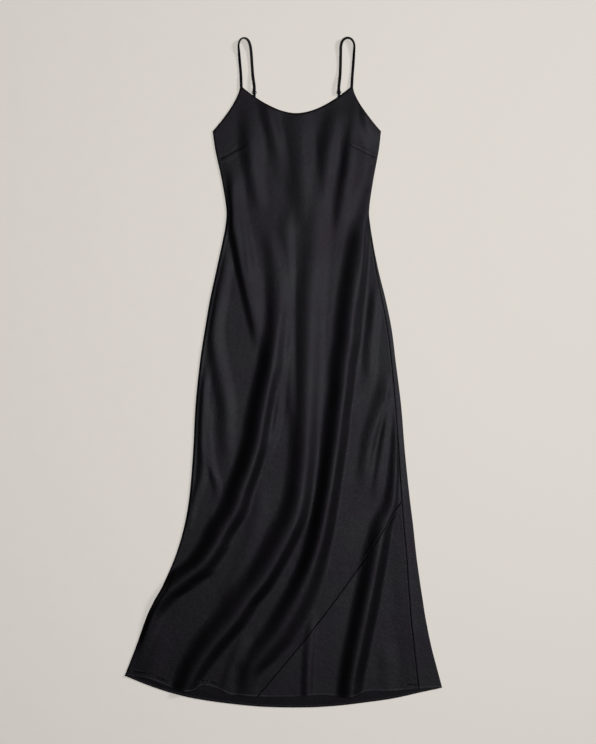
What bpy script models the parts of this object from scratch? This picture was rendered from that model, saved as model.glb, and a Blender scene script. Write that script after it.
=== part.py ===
"""A bias-cut maxi slip dress laid flat with its front up.

Sizes are in millimetres. +Y runs towards the straps, x = 0 and y = 0 are the middle of the
laid length and width, and z = 0 is the surface the dress rests on.
"""

import math
from collections import namedtuple

import bpy

MM = 0.001
WALL = 1.0
GAP = 0.3
REST = GAP + 1.5 * WALL
TURN = 1.5
TURN_TOP = 0.5 * WALL + 2.0 * TURN

Section = namedtuple("Section", "y left right seam")
Edge = namedtuple("Edge", "x y")
Ridge = namedtuple("Ridge", "y x height left right")
Lay = namedtuple("Lay", "x y twist")

# Side edges of the laid dress, and the line of its right side seam, from underarm to hem.
SECTIONS = (
    Section(521, -153, 211, 211),
    Section(480, -147, 206, 206),
    Section(415, -133, 194, 194),
    Section(350, -123, 185, 185),
    Section(317, -125, 188, 187),
    Section(285, -131, 193, 191),
    Section(220, -145, 206, 200),
    Section(155, -159, 222, 213),
    Section(90, -170, 235, 225),
    Section(25, -180, 243, 233),
    Section(-72, -190, 255, 242),
    Section(-170, -195, 263, 249),
    Section(-267, -203, 273, 255),
    Section(-332, -214, 281, 260),
    Section(-397, -233, 288, 266),
    Section(-462, -261, 297, 270),
    Section(-494, -279, 302, 273),
    Section(-527, -295, 307, 275),
    Section(-592, -318, 320, 282),
    Section(-657, -343, 337, 289),
    Section(-725, -368, 355, 297),
)

UNDERARM_Y = 521
PEAK_Y = 616
PEAK_WIDTH = 5.8
LEFT_PEAK_X = -91
RIGHT_PEAK_X = 147.5
NECK_LOW_Y = 560
NECK_LOW_X = 28
NECK_POWER = 1.77
ARMHOLE_POWER = 1.43

BACK_PEAK_Y = 571
BACK_LEFT_PEAK_X = -62
BACK_RIGHT_PEAK_X = 119.5
BACK_NECK_LOW_Y = 512
BACK_UNDERARM_Y = 519

FRONT_HEM = (
    Edge(-343, -657), Edge(-300, -662), Edge(-267, -673), Edge(-235, -686),
    Edge(-209, -691), Edge(-192, -689), Edge(-181, -680), Edge(-159, -680),
    Edge(-137, -688), Edge(-116, -697), Edge(-88, -701), Edge(-57, -703),
    Edge(14, -703), Edge(57, -700), Edge(90, -699), Edge(133, -703),
    Edge(155, -701), Edge(181, -691), Edge(235, -690), Edge(295, -685),
    Edge(345, -682),
)
BACK_HEM = (
    Edge(-343, -657), Edge(-296, -676), Edge(-246, -693), Edge(-192, -706),
    Edge(-116, -717), Edge(-38, -724), Edge(57, -725), Edge(122, -721),
    Edge(172, -715), Edge(236, -706), Edge(295, -693), Edge(345, -682),
)

# The diagonal seam of the gore, from the side seam down to the front hem.
GORE_TOP_Y = -279
GORE_HEM = Edge(-57, -703)
GORE_SAG = 15
GORE_TIP = 5

# Each fold of the front: where its crest runs, how high it stands over the flat cloth, and
# how far each of its slopes reaches to the left and right of the crest.
FOLDS = {
    "waist_left": (
        Ridge(460, -104, 0.0, 18, 30), Ridge(370, -108, 2.0, 18, 34),
        Ridge(275, -98, 4.5, 20, 40), Ridge(180, -79, 4.5, 20, 44),
        Ridge(80, -60, 3.0, 18, 36), Ridge(25, -57, 0.0, 16, 30),
    ),
    "hip_left": (
        Ridge(290, -121, 0.0, 12, 16), Ridge(190, -134, 4.0, 18, 26),
        Ridge(80, -150, 5.0, 24, 30), Ridge(-15, -132, 4.5, 30, 30),
        Ridge(-125, -124, 3.5, 30, 26), Ridge(-215, -122, 0.0, 24, 22),
    ),
    "sweep_left": (
        Ridge(320, -36, 0.0, 30, 26), Ridge(220, -14, 3.5, 32, 28),
        Ridge(90, -17, 8.0, 36, 28), Ridge(5, -25, 10.5, 42, 28),
        Ridge(-82, -43, 11.5, 46, 28), Ridge(-168, -58, 12.0, 46, 28),
        Ridge(-255, -88, 12.0, 46, 30), Ridge(-328, -121, 11.5, 46, 32),
        Ridge(-400, -164, 11.0, 44, 34), Ridge(-448, -215, 9.5, 36, 36),
        Ridge(-491, -267, 7.5, 22, 34), Ridge(-540, -296, 5.0, 16, 30),
        Ridge(-600, -320, 1.0, 12, 20),
    ),
    "sweep_middle": (
        Ridge(350, 62, 0.0, 40, 40), Ridge(200, 58, 4.0, 44, 40),
        Ridge(50, 54, 5.5, 44, 38), Ridge(-105, 48, 7.0, 44, 34),
        Ridge(-210, 44, 8.5, 46, 30), Ridge(-310, 28, 10.5, 52, 30),
        Ridge(-375, 0, 12.0, 56, 30), Ridge(-450, -46, 12.0, 56, 30),
        Ridge(-525, -101, 12.0, 54, 32), Ridge(-597, -161, 12.0, 50, 34),
        Ridge(-655, -199, 11.0, 46, 32), Ridge(-705, -216, 9.5, 44, 28),
    ),
    "sweep_right": (
        Ridge(400, 185, 0.0, 30, 12), Ridge(330, 176, 4.0, 36, 14),
        Ridge(245, 163, 8.0, 44, 20), Ridge(110, 148, 10.0, 46, 24),
        Ridge(-60, 129, 11.0, 44, 26), Ridge(-190, 110, 11.5, 40, 26),
        Ridge(-320, 90, 12.0, 38, 28), Ridge(-406, 68, 12.0, 40, 32),
        Ridge(-482, 36, 11.5, 46, 40), Ridge(-562, -8, 10.0, 46, 40),
        Ridge(-620, -51, 7.0, 40, 34), Ridge(-680, -76, 3.0, 30, 26),
        Ridge(-712, -80, 1.5, 26, 24),
    ),
    "hip_right": (
        Ridge(200, 200, 0.0, 20, 10), Ridge(110, 196, 3.5, 26, 14),
        Ridge(-40, 222, 5.0, 40, 14), Ridge(-115, 198, 5.0, 34, 20),
        Ridge(-235, 176, 3.0, 28, 22), Ridge(-290, 168, 0.0, 24, 20),
    ),
    "gore": (
        Ridge(-200, 243, 0.0, 16, 14), Ridge(-288, 234, 5.0, 30, 18),
        Ridge(-363, 211, 10.0, 40, 26), Ridge(-450, 194, 11.0, 40, 28),
        Ridge(-535, 177, 11.5, 40, 30), Ridge(-610, 161, 11.5, 40, 30),
        Ridge(-720, 147, 9.5, 38, 28),
    ),
}

# Each strap from the front neckline, over its loop, down to its ring. Twist 0 lies flat, 90
# stands on edge.
STRAP_WIDTH = 6.0
STRAPS = {
    "strap_left": (
        Lay(-91, 617, 0), Lay(-92, 641, 4), Lay(-94, 666, 10), Lay(-96, 690, 26),
        Lay(-97, 708, 48), Lay(-93, 719, 50), Lay(-85, 723, 50), Lay(-77, 719, 40),
        Lay(-72, 708, 28), Lay(-69.5, 690, 14), Lay(-68, 666, 8), Lay(-66, 641, 4),
        Lay(-63, 618, 0), Lay(-63, 607.2, 0),
    ),
    "strap_right": (
        Lay(147.5, 617, 0), Lay(149, 641, 4), Lay(151, 666, 10), Lay(152.5, 690, 26),
        Lay(153, 708, 48), Lay(148, 719, 50), Lay(139, 723, 50), Lay(130, 719, 40),
        Lay(125, 708, 28), Lay(124, 690, 14), Lay(123.5, 666, 8), Lay(122.5, 641, 4),
        Lay(120, 618, 0), Lay(120, 607.2, 0),
    ),
}
RING_Y = 605
RING_WIRE = 0.6
RING_HALF_WIDTH = 4.3
RING_HALF_HEIGHT = 2.2
RING_CORNER = 1.4
WRAP = RING_WIRE + GAP + 0.5 * WALL
RING_Z = 0.5 * WALL + WRAP
STRAP_END = 6.0
TAB_END = 1.2
RINGS = {"left": -63, "right": 120}


def along(rows, column, at):
    """The named column at a place along the rows' first column, as a smooth curve."""
    rising = rows if rows[0][0] < rows[-1][0] else rows[::-1]
    places = [row[0] for row in rising]
    values = [getattr(row, column) for row in rising]
    if at <= places[0]:
        return values[0]
    if at >= places[-1]:
        return values[-1]
    i = max(k for k in range(len(places) - 1) if places[k] <= at)
    step = places[i + 1] - places[i]
    slope = (values[i + 1] - values[i]) / step
    before = slope
    if i > 0:
        before = (values[i + 1] - values[i - 1]) / (places[i + 1] - places[i - 1])
    after = slope
    if i + 2 < len(places):
        after = (values[i + 2] - values[i]) / (places[i + 2] - places[i])
    t = (at - places[i]) / step
    return (
        (1 + 2 * t) * (1 - t) ** 2 * values[i]
        + t * (1 - t) ** 2 * step * before
        + t * t * (3 - 2 * t) * values[i + 1]
        + t * t * (t - 1) * step * after
    )


def ramp(value, start, end):
    """0 at start, 1 at end, eased between."""
    t = min(1.0, max(0.0, (value - start) / (end - start)))
    return t * t * (3 - 2 * t)


def spread(stations, counts):
    """The stations with each span between two of them divided into its count of steps."""
    out = [stations[0]]
    for a, b, count in zip(stations, stations[1:], counts):
        out += [a + (b - a) * k / count for k in range(1, count + 1)]
    return out


def ridge_height(rows, x, y):
    """How far one fold lifts the cloth at a point."""
    if y > rows[0].y or y < rows[-1].y:
        return 0.0
    crest = along(rows, "x", y)
    lean = (along(rows, "x", y + 5) - along(rows, "x", y - 5)) / 10
    away = (x - crest) / math.sqrt(1 + lean * lean)
    reach = along(rows, "left" if away < 0 else "right", y)
    if abs(away) >= reach:
        return 0.0
    return along(rows, "height", y) * 0.5 * (1 + math.cos(math.pi * away / reach))


def fold_height(x, y):
    return sum(ridge_height(rows, x, y) for rows in FOLDS.values())


def curl(y):
    """How far the right edge of the back has turned over, from 0 to half a turn."""
    return math.pi * ramp(y, 312, 262)


def front_level(x, y):
    """The middle of the front's wall: at rest on the back, level with the turn at its seam."""
    beside = ramp(x, along(SECTIONS, "seam", y) - 45, along(SECTIONS, "seam", y) - 3)
    lift = (TURN_TOP - REST) * ramp(y, 312, 262) * beside
    inside = ramp(x, along(SECTIONS, "left", y), along(SECTIONS, "left", y) + 14)
    return REST + lift + fold_height(x, y) * inside


def gore_x(y):
    """The diagonal seam, which bows a little towards the hem."""
    t = min(1.0, max(0.0, (GORE_TOP_Y - y) / (GORE_TOP_Y - GORE_HEM.y)))
    start = along(SECTIONS, "seam", GORE_TOP_Y)
    return start + (GORE_HEM.x - start) * t + GORE_SAG * math.sin(math.pi * t)


def front_right(y):
    if y > GORE_TOP_Y - GORE_TIP:
        return along(SECTIONS, "seam", y) - 0.5 * GAP - WALL * ramp(y, 340, 300)
    return gore_x(y) - 0.5 * GAP


def top_edge(x, left, right, low_x, low_y, peak_y, underarm_y):
    """The height of a neckline and its armholes at x, with a flat peak for each strap."""
    half = 0.5 * PEAK_WIDTH
    if x < left - half or x > right + half:
        inner = left - half if x < left else right + half
        outer = along(SECTIONS, "left" if x < left else "right", UNDERARM_Y)
        t = (x - inner) / (outer - inner)
        return peak_y - (peak_y - underarm_y) * min(1.0, t) ** (1 / ARMHOLE_POWER)
    if x <= left + half or x >= right - half:
        return peak_y
    reach = (left + half if x < low_x else right - half) - low_x
    return low_y + (peak_y - low_y) * ((x - low_x) / reach) ** NECK_POWER


def front_top(x):
    return top_edge(
        x, LEFT_PEAK_X, RIGHT_PEAK_X, NECK_LOW_X, NECK_LOW_Y, PEAK_Y, UNDERARM_Y
    )


def back_top(x):
    return top_edge(
        x, BACK_LEFT_PEAK_X, BACK_RIGHT_PEAK_X, NECK_LOW_X, BACK_NECK_LOW_Y,
        BACK_PEAK_Y, BACK_UNDERARM_Y,
    )


def across_shares(left, right, counts):
    """Where the columns of a body panel stand, as shares of its width at the underarm."""
    start = along(SECTIONS, "left", UNDERARM_Y)
    end = along(SECTIONS, "right", UNDERARM_Y)
    half = 0.5 * PEAK_WIDTH
    stations = (start, left - half, left + half, right - half, right + half, end)
    return [(x - start) / (end - start) for x in spread(stations, counts)]


def settle(share, y, hem, left_of, right_of, pull):
    """A point at this share of the width, drawn down to the hem by pull."""
    at = y
    for _ in range(6):
        x = left_of(at) + (right_of(at) - left_of(at)) * share
        at = y + (along(hem, "y", x) - y) * pull
    return x, at


def collection(name, hidden):
    made = bpy.data.collections.new(name)
    made.hide_render = hidden
    bpy.context.scene.collection.children.link(made)
    return made


def material(name, colour, roughness, metallic):
    made = bpy.data.materials.new(name)
    made.use_nodes = True
    shader = made.node_tree.nodes["Principled BSDF"]
    shader.inputs["Base Color"].default_value = (*colour, 1.0)
    shader.inputs["Roughness"].default_value = roughness
    shader.inputs["Metallic"].default_value = metallic
    made.diffuse_color = (*colour, 1.0)
    return made


def sheet(name, rows, home, cloth):
    """An open surface through rows of points, thickened into a wall about its middle."""
    width = len(rows[0])
    points = [tuple(MM * value for value in point) for row in rows for point in row]
    faces = [
        (r * width + c, (r + 1) * width + c, (r + 1) * width + c + 1, r * width + c + 1)
        for r in range(len(rows) - 1)
        for c in range(width - 1)
    ]
    mesh = bpy.data.meshes.new(name)
    mesh.from_pydata(points, [], faces)
    mesh.materials.append(cloth)
    made = bpy.data.objects.new(name, mesh)
    home.objects.link(made)
    wall = made.modifiers.new("Wall", "SOLIDIFY")
    wall.thickness = WALL * MM
    wall.offset = 0.0
    return made


def front_rows():
    shares = across_shares(LEFT_PEAK_X, RIGHT_PEAK_X, (3, 1, 18, 1, 3))
    start = along(SECTIONS, "left", UNDERARM_Y)
    end = along(SECTIONS, "right", UNDERARM_Y)
    tops = [front_top(start + (end - start) * share) for share in shares]
    rows = []
    for k in range(5):
        t = k / 5
        ys = [top + (480 - top) * t for top in tops]
        rows.append([
            (along(SECTIONS, "left", min(y, UNDERARM_Y)) * (1 - share)
             + front_right(min(y, UNDERARM_Y)) * share, y)
            for share, y in zip(shares, ys)
        ])
    for y in spread((480, 340, -270, -600, -690), (6, 21, 12, 4)):
        pull = ramp(y, -540, -690)
        rows.append([
            settle(
                share, y, FRONT_HEM,
                lambda at: along(SECTIONS, "left", at), front_right, pull,
            )
            for share in shares
        ])
    return [[(x, y, front_level(x, y)) for x, y in row] for row in rows]


def gore_rows():
    shares = [k / 9 for k in range(10)]
    rows = []
    for y in spread((GORE_TOP_Y - GORE_TIP - 6, -340, -600, -690), (3, 9, 4)):
        pull = ramp(y, -540, -690)
        row = [
            settle(
                share, y, FRONT_HEM,
                lambda at: gore_x(at) + 0.5 * GAP,
                lambda at: along(SECTIONS, "seam", at) - 0.5 * GAP, pull,
            )
            for share in shares
        ]
        rows.append([(x, y_at, front_level(x, y_at)) for x, y_at in row])
    return rows


def turned_edge(y):
    """The back's right edge as offsets from the outermost point: across, and up."""
    angle = curl(y)
    right = along(SECTIONS, "right", y)
    reach = right - TURN - 0.5 * WALL - along(SECTIONS, "seam", y) - 0.5 * GAP
    flange = max(0.6, reach * ramp(angle, 0.5 * math.pi, math.pi))
    arc = math.pi * TURN
    path = []
    for k in range(9):
        length = min(k, 5) / 5 * arc
        bend = angle * min(k, 5) / 5
        if angle > 0.01:
            radius = arc / angle
            across = radius * math.sin(bend)
            up = radius * (1 - math.cos(bend))
        else:
            across = length
            up = 0.0
        extra = flange * max(0, k - 5) / 3
        path.append((across + extra * math.cos(bend), up + extra * math.sin(bend)))
    outermost = max(across for across, up in path)
    rim = 0.5 * WALL * math.sin(min(angle, 0.5 * math.pi))
    return [(across - outermost - rim, up) for across, up in path]


def back_rows():
    shares = across_shares(BACK_LEFT_PEAK_X, BACK_RIGHT_PEAK_X, (2, 1, 8, 1, 2))
    start = along(SECTIONS, "left", UNDERARM_Y)
    end = along(SECTIONS, "right", UNDERARM_Y)
    tops = [back_top(start + (end - start) * share) for share in shares]
    low = 480
    lines = []
    for k in range(3):
        lines.append([top + (low - top) * k / 3 for top in tops])
    for y in spread((low, 320, 240, -560, -700), (3, 5, 13, 4)):
        lines.append([y] * len(shares))
    rows = []
    for line in lines:
        base = line[-1]
        pull = ramp(base, -560, -700)
        edge = turned_edge(min(base, UNDERARM_Y))
        row = []
        for share, y in zip(shares, line):
            def left_of(at):
                return along(SECTIONS, "left", min(at, UNDERARM_Y))

            def right_of(at):
                return along(SECTIONS, "right", min(at, UNDERARM_Y)) + edge[0][0]

            x, at = settle(share, y, BACK_HEM, left_of, right_of, pull)
            row.append((x, at, 0.5 * WALL))
        for k in range(1, len(edge)):
            at = base
            for _ in range(4):
                across, up = turned_edge(min(at, UNDERARM_Y))[k]
                x = along(SECTIONS, "right", min(at, UNDERARM_Y)) + across
                hem = FRONT_HEM if up > TURN else BACK_HEM
                at = base + (along(hem, "y", x) - base) * pull
            seam = along(SECTIONS, "seam", at)
            beside = ramp(x, along(SECTIONS, "right", at) - TURN, seam)
            row.append((x, at, 0.5 * WALL + up + fold_height(seam, at) * beside))
        rows.append(row)
    return rows


def ribbon(points, twists):
    """Rows across a narrow band: flat, or standing on its edge where it is twisted."""
    rows = []
    for i, (x, y, z) in enumerate(points):
        ahead = points[min(i + 1, len(points) - 1)]
        behind = points[max(i - 1, 0)]
        run = math.hypot(ahead[0] - behind[0], ahead[1] - behind[1])
        if run < 1e-6 or abs(ahead[2] - behind[2]) > 3 * run:
            side = (-1.0, 0.0) if not rows else rows[-1][0]
        else:
            side = ((ahead[1] - behind[1]) / run, -(ahead[0] - behind[0]) / run)
        if abs(twists[i]) < 1:
            side = (math.copysign(1.0, side[0]), 0.0) if i > len(points) // 2 else side
        half = 0.5 * STRAP_WIDTH
        flat = half * math.cos(math.radians(twists[i]))
        tall = half * math.sin(math.radians(twists[i]))
        rows.append((side, [
            (x + side[0] * flat * k, y + side[1] * flat * k, z + tall * k)
            for k in (-1, 0, 1)
        ]))
    return [row for side, row in rows]


def strap_rows(rows, ring_x):
    """The band along its lay, then round the ring's upper bar and back under itself."""
    count = 5
    points = []
    twists = []
    for i in range(len(rows) - 1):
        for k in range(count):
            t = k / count
            before = rows[max(i - 1, 0)]
            after = rows[min(i + 2, len(rows) - 1)]
            values = []
            for name in ("x", "y", "twist"):
                a = getattr(rows[i], name)
                b = getattr(rows[i + 1], name)
                m = 0.5 * (b - getattr(before, name))
                n = 0.5 * (getattr(after, name) - a)
                values.append(
                    (1 + 2 * t) * (1 - t) ** 2 * a + t * (1 - t) ** 2 * m
                    + t * t * (3 - 2 * t) * b + t * t * (t - 1) * n
                )
            x, y, twist = values
            turn = math.radians(twist)
            rest = 0.5 * STRAP_WIDTH * math.sin(turn) + 0.5 * WALL * math.cos(turn)
            share = (i + t) / (len(rows) - 1)
            at_peak = (REST - 0.5 * WALL) * (1 - ramp(share, 0.0, 0.12))
            at_ring = 2 * WRAP * ramp(share, 0.78, 0.93)
            points.append((x, y, rest + at_peak + at_ring))
            twists.append(twist)
    bar_y = RING_Y + RING_HALF_HEIGHT
    for k in range(9):
        turn = math.pi * k / 8
        points.append((
            ring_x, bar_y - WRAP * math.sin(turn), RING_Z + WRAP * math.cos(turn)
        ))
        twists.append(0)
    points.append((ring_x, bar_y + STRAP_END, 0.5 * WALL))
    twists.append(0)
    return points, twists


def wrap_rows(points, ring_x):
    """Rows of a flat band that runs straight along Y."""
    half = 0.5 * STRAP_WIDTH
    return [[(ring_x + half * k, y, z) for k in (-1, 0, 1)] for x, y, z in points]


def tab_points(ring_x):
    """The band from the back neckline up to the ring, round its lower bar and over."""
    bar_y = RING_Y - RING_HALF_HEIGHT
    points = [
        (ring_x, y, 0.5 * WALL)
        for y in spread((BACK_PEAK_Y + GAP, bar_y), (4,))
    ]
    for k in range(1, 9):
        turn = math.pi * k / 8
        points.append((
            ring_x, bar_y + WRAP * math.sin(turn), RING_Z - WRAP * math.cos(turn)
        ))
    points.append((ring_x, bar_y - TAB_END, RING_Z + WRAP))
    return points


def ring(name, x, home, metal):
    """A small wire loop with straight bars above and below."""
    curve = bpy.data.curves.new(name, "CURVE")
    curve.dimensions = "3D"
    curve.bevel_depth = RING_WIRE * MM
    curve.bevel_resolution = 1
    loop = curve.splines.new("POLY")
    points = []
    for quarter in range(4):
        for k in range(4):
            turn = 0.5 * math.pi * (quarter + k / 3)
            side_x = 1 if quarter in (0, 3) else -1
            side_y = 1 if quarter in (0, 1) else -1
            points.append((
                x + side_x * (RING_HALF_WIDTH - RING_CORNER) + RING_CORNER * math.cos(turn),
                RING_Y + side_y * (RING_HALF_HEIGHT - RING_CORNER)
                + RING_CORNER * math.sin(turn),
                RING_Z,
            ))
    loop.points.add(len(points) - 1)
    for point, place in zip(loop.points, points):
        point.co = (*(MM * value for value in place), 1.0)
    loop.use_cyclic_u = True
    curve.materials.append(metal)
    made = bpy.data.objects.new(name, curve)
    home.objects.link(made)
    return made


def clear_scene():
    for item in list(bpy.data.objects):
        bpy.data.objects.remove(item, do_unlink=True)


def build():
    clear_scene()
    dress = collection("slip_dress", False)
    satin = (0.020, 0.019, 0.023)
    sheet("front_panel", front_rows(), dress, material("front_satin", satin, 0.36, 0.0))
    sheet("front_gore", gore_rows(), dress, material("gore_satin", satin, 0.36, 0.0))
    sheet("back_panel", back_rows(), dress, material("back_satin", satin, 0.42, 0.0))
    for side, x in RINGS.items():
        strap = "strap_" + side
        points, twists = strap_rows(STRAPS[strap], x)
        lay = len(points) - 10
        rows = ribbon(points[:lay], twists[:lay])
        if rows[-1][0][0] > rows[-1][2][0]:
            tail = [row[::-1] for row in wrap_rows(points[lay:], x)]
        else:
            tail = wrap_rows(points[lay:], x)
        sheet(strap, rows + tail, dress, material(strap + "_satin", satin, 0.4, 0.0))
        tab = "tab_" + side
        cloth = material(tab + "_satin", satin, 0.4, 0.0)
        sheet(tab, wrap_rows(tab_points(x), x), dress, cloth)
        wire = material("ring_" + side + "_enamel", (0.012, 0.012, 0.013), 0.3, 0.6)
        ring("ring_" + side, x, dress, wire)


build()
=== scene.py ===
"""The slip dress as it looks: satin panels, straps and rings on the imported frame, with a floor,
lights and a camera. Sizes in the tables are millimetres; everything in the scene is metres."""

import math
from collections import namedtuple

import bpy
import numpy as np
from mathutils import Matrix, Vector


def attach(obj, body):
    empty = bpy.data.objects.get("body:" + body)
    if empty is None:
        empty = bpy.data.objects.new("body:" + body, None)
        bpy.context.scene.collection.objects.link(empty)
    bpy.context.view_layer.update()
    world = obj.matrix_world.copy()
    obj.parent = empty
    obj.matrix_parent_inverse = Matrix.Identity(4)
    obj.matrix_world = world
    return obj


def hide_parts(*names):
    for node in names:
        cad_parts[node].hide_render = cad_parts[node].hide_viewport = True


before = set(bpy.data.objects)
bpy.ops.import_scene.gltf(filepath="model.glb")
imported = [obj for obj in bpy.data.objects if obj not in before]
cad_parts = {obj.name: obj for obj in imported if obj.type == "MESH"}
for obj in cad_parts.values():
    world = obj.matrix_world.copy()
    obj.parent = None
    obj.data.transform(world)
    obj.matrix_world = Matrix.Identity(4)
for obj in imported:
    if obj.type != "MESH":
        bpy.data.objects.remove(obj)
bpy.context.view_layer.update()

MM = 0.001
WALL = 1.0
GAP = 0.3
REST = GAP + 1.5 * WALL
LOWEST = WALL + 0.2
TURN = 1.5
TURN_TOP = 0.5 * WALL + 2.0 * TURN

Section = namedtuple("Section", "y left right seam")
Edge = namedtuple("Edge", "x y")
Ridge = namedtuple("Ridge", "y x height left right")
Lay = namedtuple("Lay", "x y twist")

# Side edges of the laid dress, and the line of its right side seam, from underarm to hem.
SECTIONS = (
    Section(521, -153, 211, 211),
    Section(480, -147, 206, 206),
    Section(415, -133, 194, 194),
    Section(350, -123, 185, 185),
    Section(317, -125, 188, 187),
    Section(285, -131, 193, 191),
    Section(220, -145, 206, 200),
    Section(155, -159, 222, 213),
    Section(90, -170, 235, 225),
    Section(25, -180, 243, 233),
    Section(-72, -190, 255, 242),
    Section(-170, -195, 263, 249),
    Section(-267, -203, 273, 255),
    Section(-332, -214, 281, 260),
    Section(-397, -233, 288, 266),
    Section(-462, -261, 297, 270),
    Section(-494, -279, 302, 273),
    Section(-527, -295, 307, 275),
    Section(-592, -318, 320, 282),
    Section(-657, -343, 337, 289),
    Section(-725, -368, 355, 297),
)

UNDERARM_Y = 521
PEAK_Y = 616
PEAK_WIDTH = 5.8
LEFT_PEAK_X = -91
RIGHT_PEAK_X = 147.5
NECK_LOW_Y = 560
NECK_LOW_X = 28
NECK_POWER = 1.77
ARMHOLE_POWER = 1.43
BACK_PEAK_Y = 571
BACK_LEFT_PEAK_X = -62
BACK_RIGHT_PEAK_X = 119.5
BACK_NECK_LOW_Y = 512
BACK_UNDERARM_Y = 519

FRONT_HEM = (
    Edge(-343, -657), Edge(-300, -662), Edge(-267, -673), Edge(-235, -686),
    Edge(-209, -691), Edge(-192, -689), Edge(-181, -680), Edge(-159, -680),
    Edge(-137, -688), Edge(-116, -697), Edge(-88, -701), Edge(-57, -703),
    Edge(14, -703), Edge(57, -700), Edge(90, -699), Edge(133, -703),
    Edge(155, -701), Edge(181, -691), Edge(235, -690), Edge(295, -685),
    Edge(345, -682),
)
BACK_HEM = (
    Edge(-343, -657), Edge(-296, -676), Edge(-246, -693), Edge(-192, -706),
    Edge(-116, -717), Edge(-38, -724), Edge(57, -725), Edge(122, -721),
    Edge(172, -715), Edge(236, -706), Edge(295, -693), Edge(345, -682),
)

# The diagonal seam of the gore, and the two bust darts from side seam to tip.
GORE_TOP_Y = -279
GORE_HEM = Edge(-57, -703)
GORE_SAG = 15
DARTS = (((-136, 461), (-78, 492)), ((198, 464), (138.5, 493)))

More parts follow.
